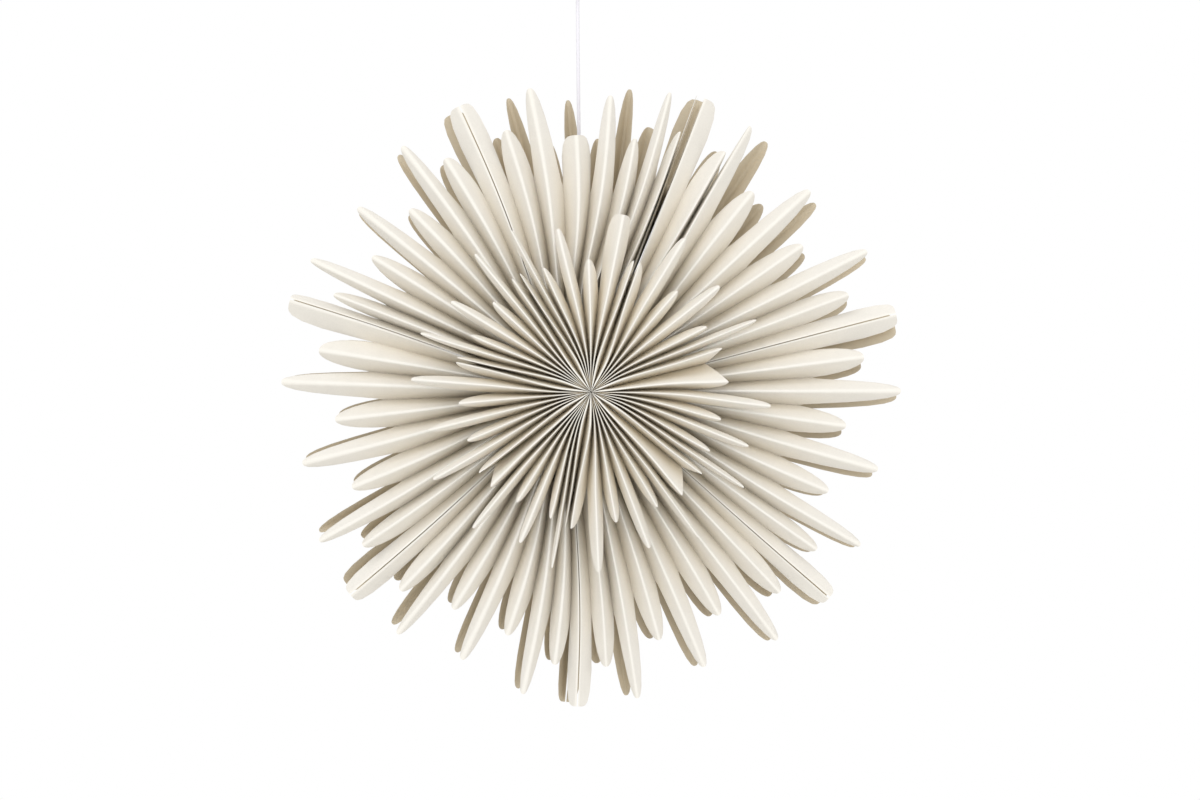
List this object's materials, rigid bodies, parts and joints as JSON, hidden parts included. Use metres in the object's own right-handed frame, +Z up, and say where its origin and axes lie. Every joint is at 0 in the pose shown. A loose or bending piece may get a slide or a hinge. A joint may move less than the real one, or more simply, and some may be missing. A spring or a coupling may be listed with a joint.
{
  "type": "paper star lamp",
  "caption": "Hanging star lamp of pleated cream paper, with long and short leaves in two tiers on each face, on a thin white cord from a ceiling cup.",
  "frame": {"origin": "middle of the base plate's top face, where the lamp meets the ceiling", "axes": "+Z up, the star's front faces -Y, +X to the right as seen from the front"},
  "size_m": [0.5898, 0.176, 0.7137],
  "materials": {
    "paper": "matte cream paper",
    "pad": "white hook and loop",
    "white_plastic": "white, satin",
    "insert_plastic": "ivory",
    "bulb_glass": "opal, frosted",
    "cord_cover": "white, faintly cool",
    "steel": "zinc plated"
  },
  "bodies": {
    "root": {"front_leaves_1": "paper", "front_leaves_2": "paper", "front_leaves_3": "paper", "front_leaves_4": "paper", "front_leaves_5": "paper", "front_leaves_6": "paper", "front_leaves_7": "paper", "rear_leaves_1": "paper", "rear_leaves_2": "paper", "rear_leaves_3": "paper", "rear_leaves_4": "paper", "rear_leaves_5": "paper", "rear_leaves_6": "paper", "rear_leaves_7": "paper", "front_rosette_1": "paper", "front_rosette_2": "paper", "front_rosette_3": "paper", "front_rosette_4": "paper", "front_rosette_5": "paper", "front_rosette_6": "paper", "front_rosette_7": "paper", "rear_rosette_1": "paper", "rear_rosette_2": "paper", "rear_rosette_3": "paper", "rear_rosette_4": "paper", "rear_rosette_5": "paper", "rear_rosette_6": "paper", "rear_rosette_7": "paper", "divider_1": "paper", "divider_3": "paper", "divider_4": "paper", "divider_5": "paper", "divider_6": "paper", "divider_7": "paper", "end_panel_first": "paper", "end_panel_last": "paper", "closing_pads": "pad", "shade_carrier": "steel", "shade_ring": "white_plastic", "lampholder_shell": "white_plastic", "contact_insert": "insert_plastic", "holder_cord_grip": "white_plastic", "bulb": "bulb_glass", "cord": "cord_cover", "cup_cord_grip": "white_plastic", "cup_grip_nut": "steel", "ceiling_cup": "white_plastic", "terminal_block": "insert_plastic", "base_plate": "steel"}
  },
  "joints": []
}
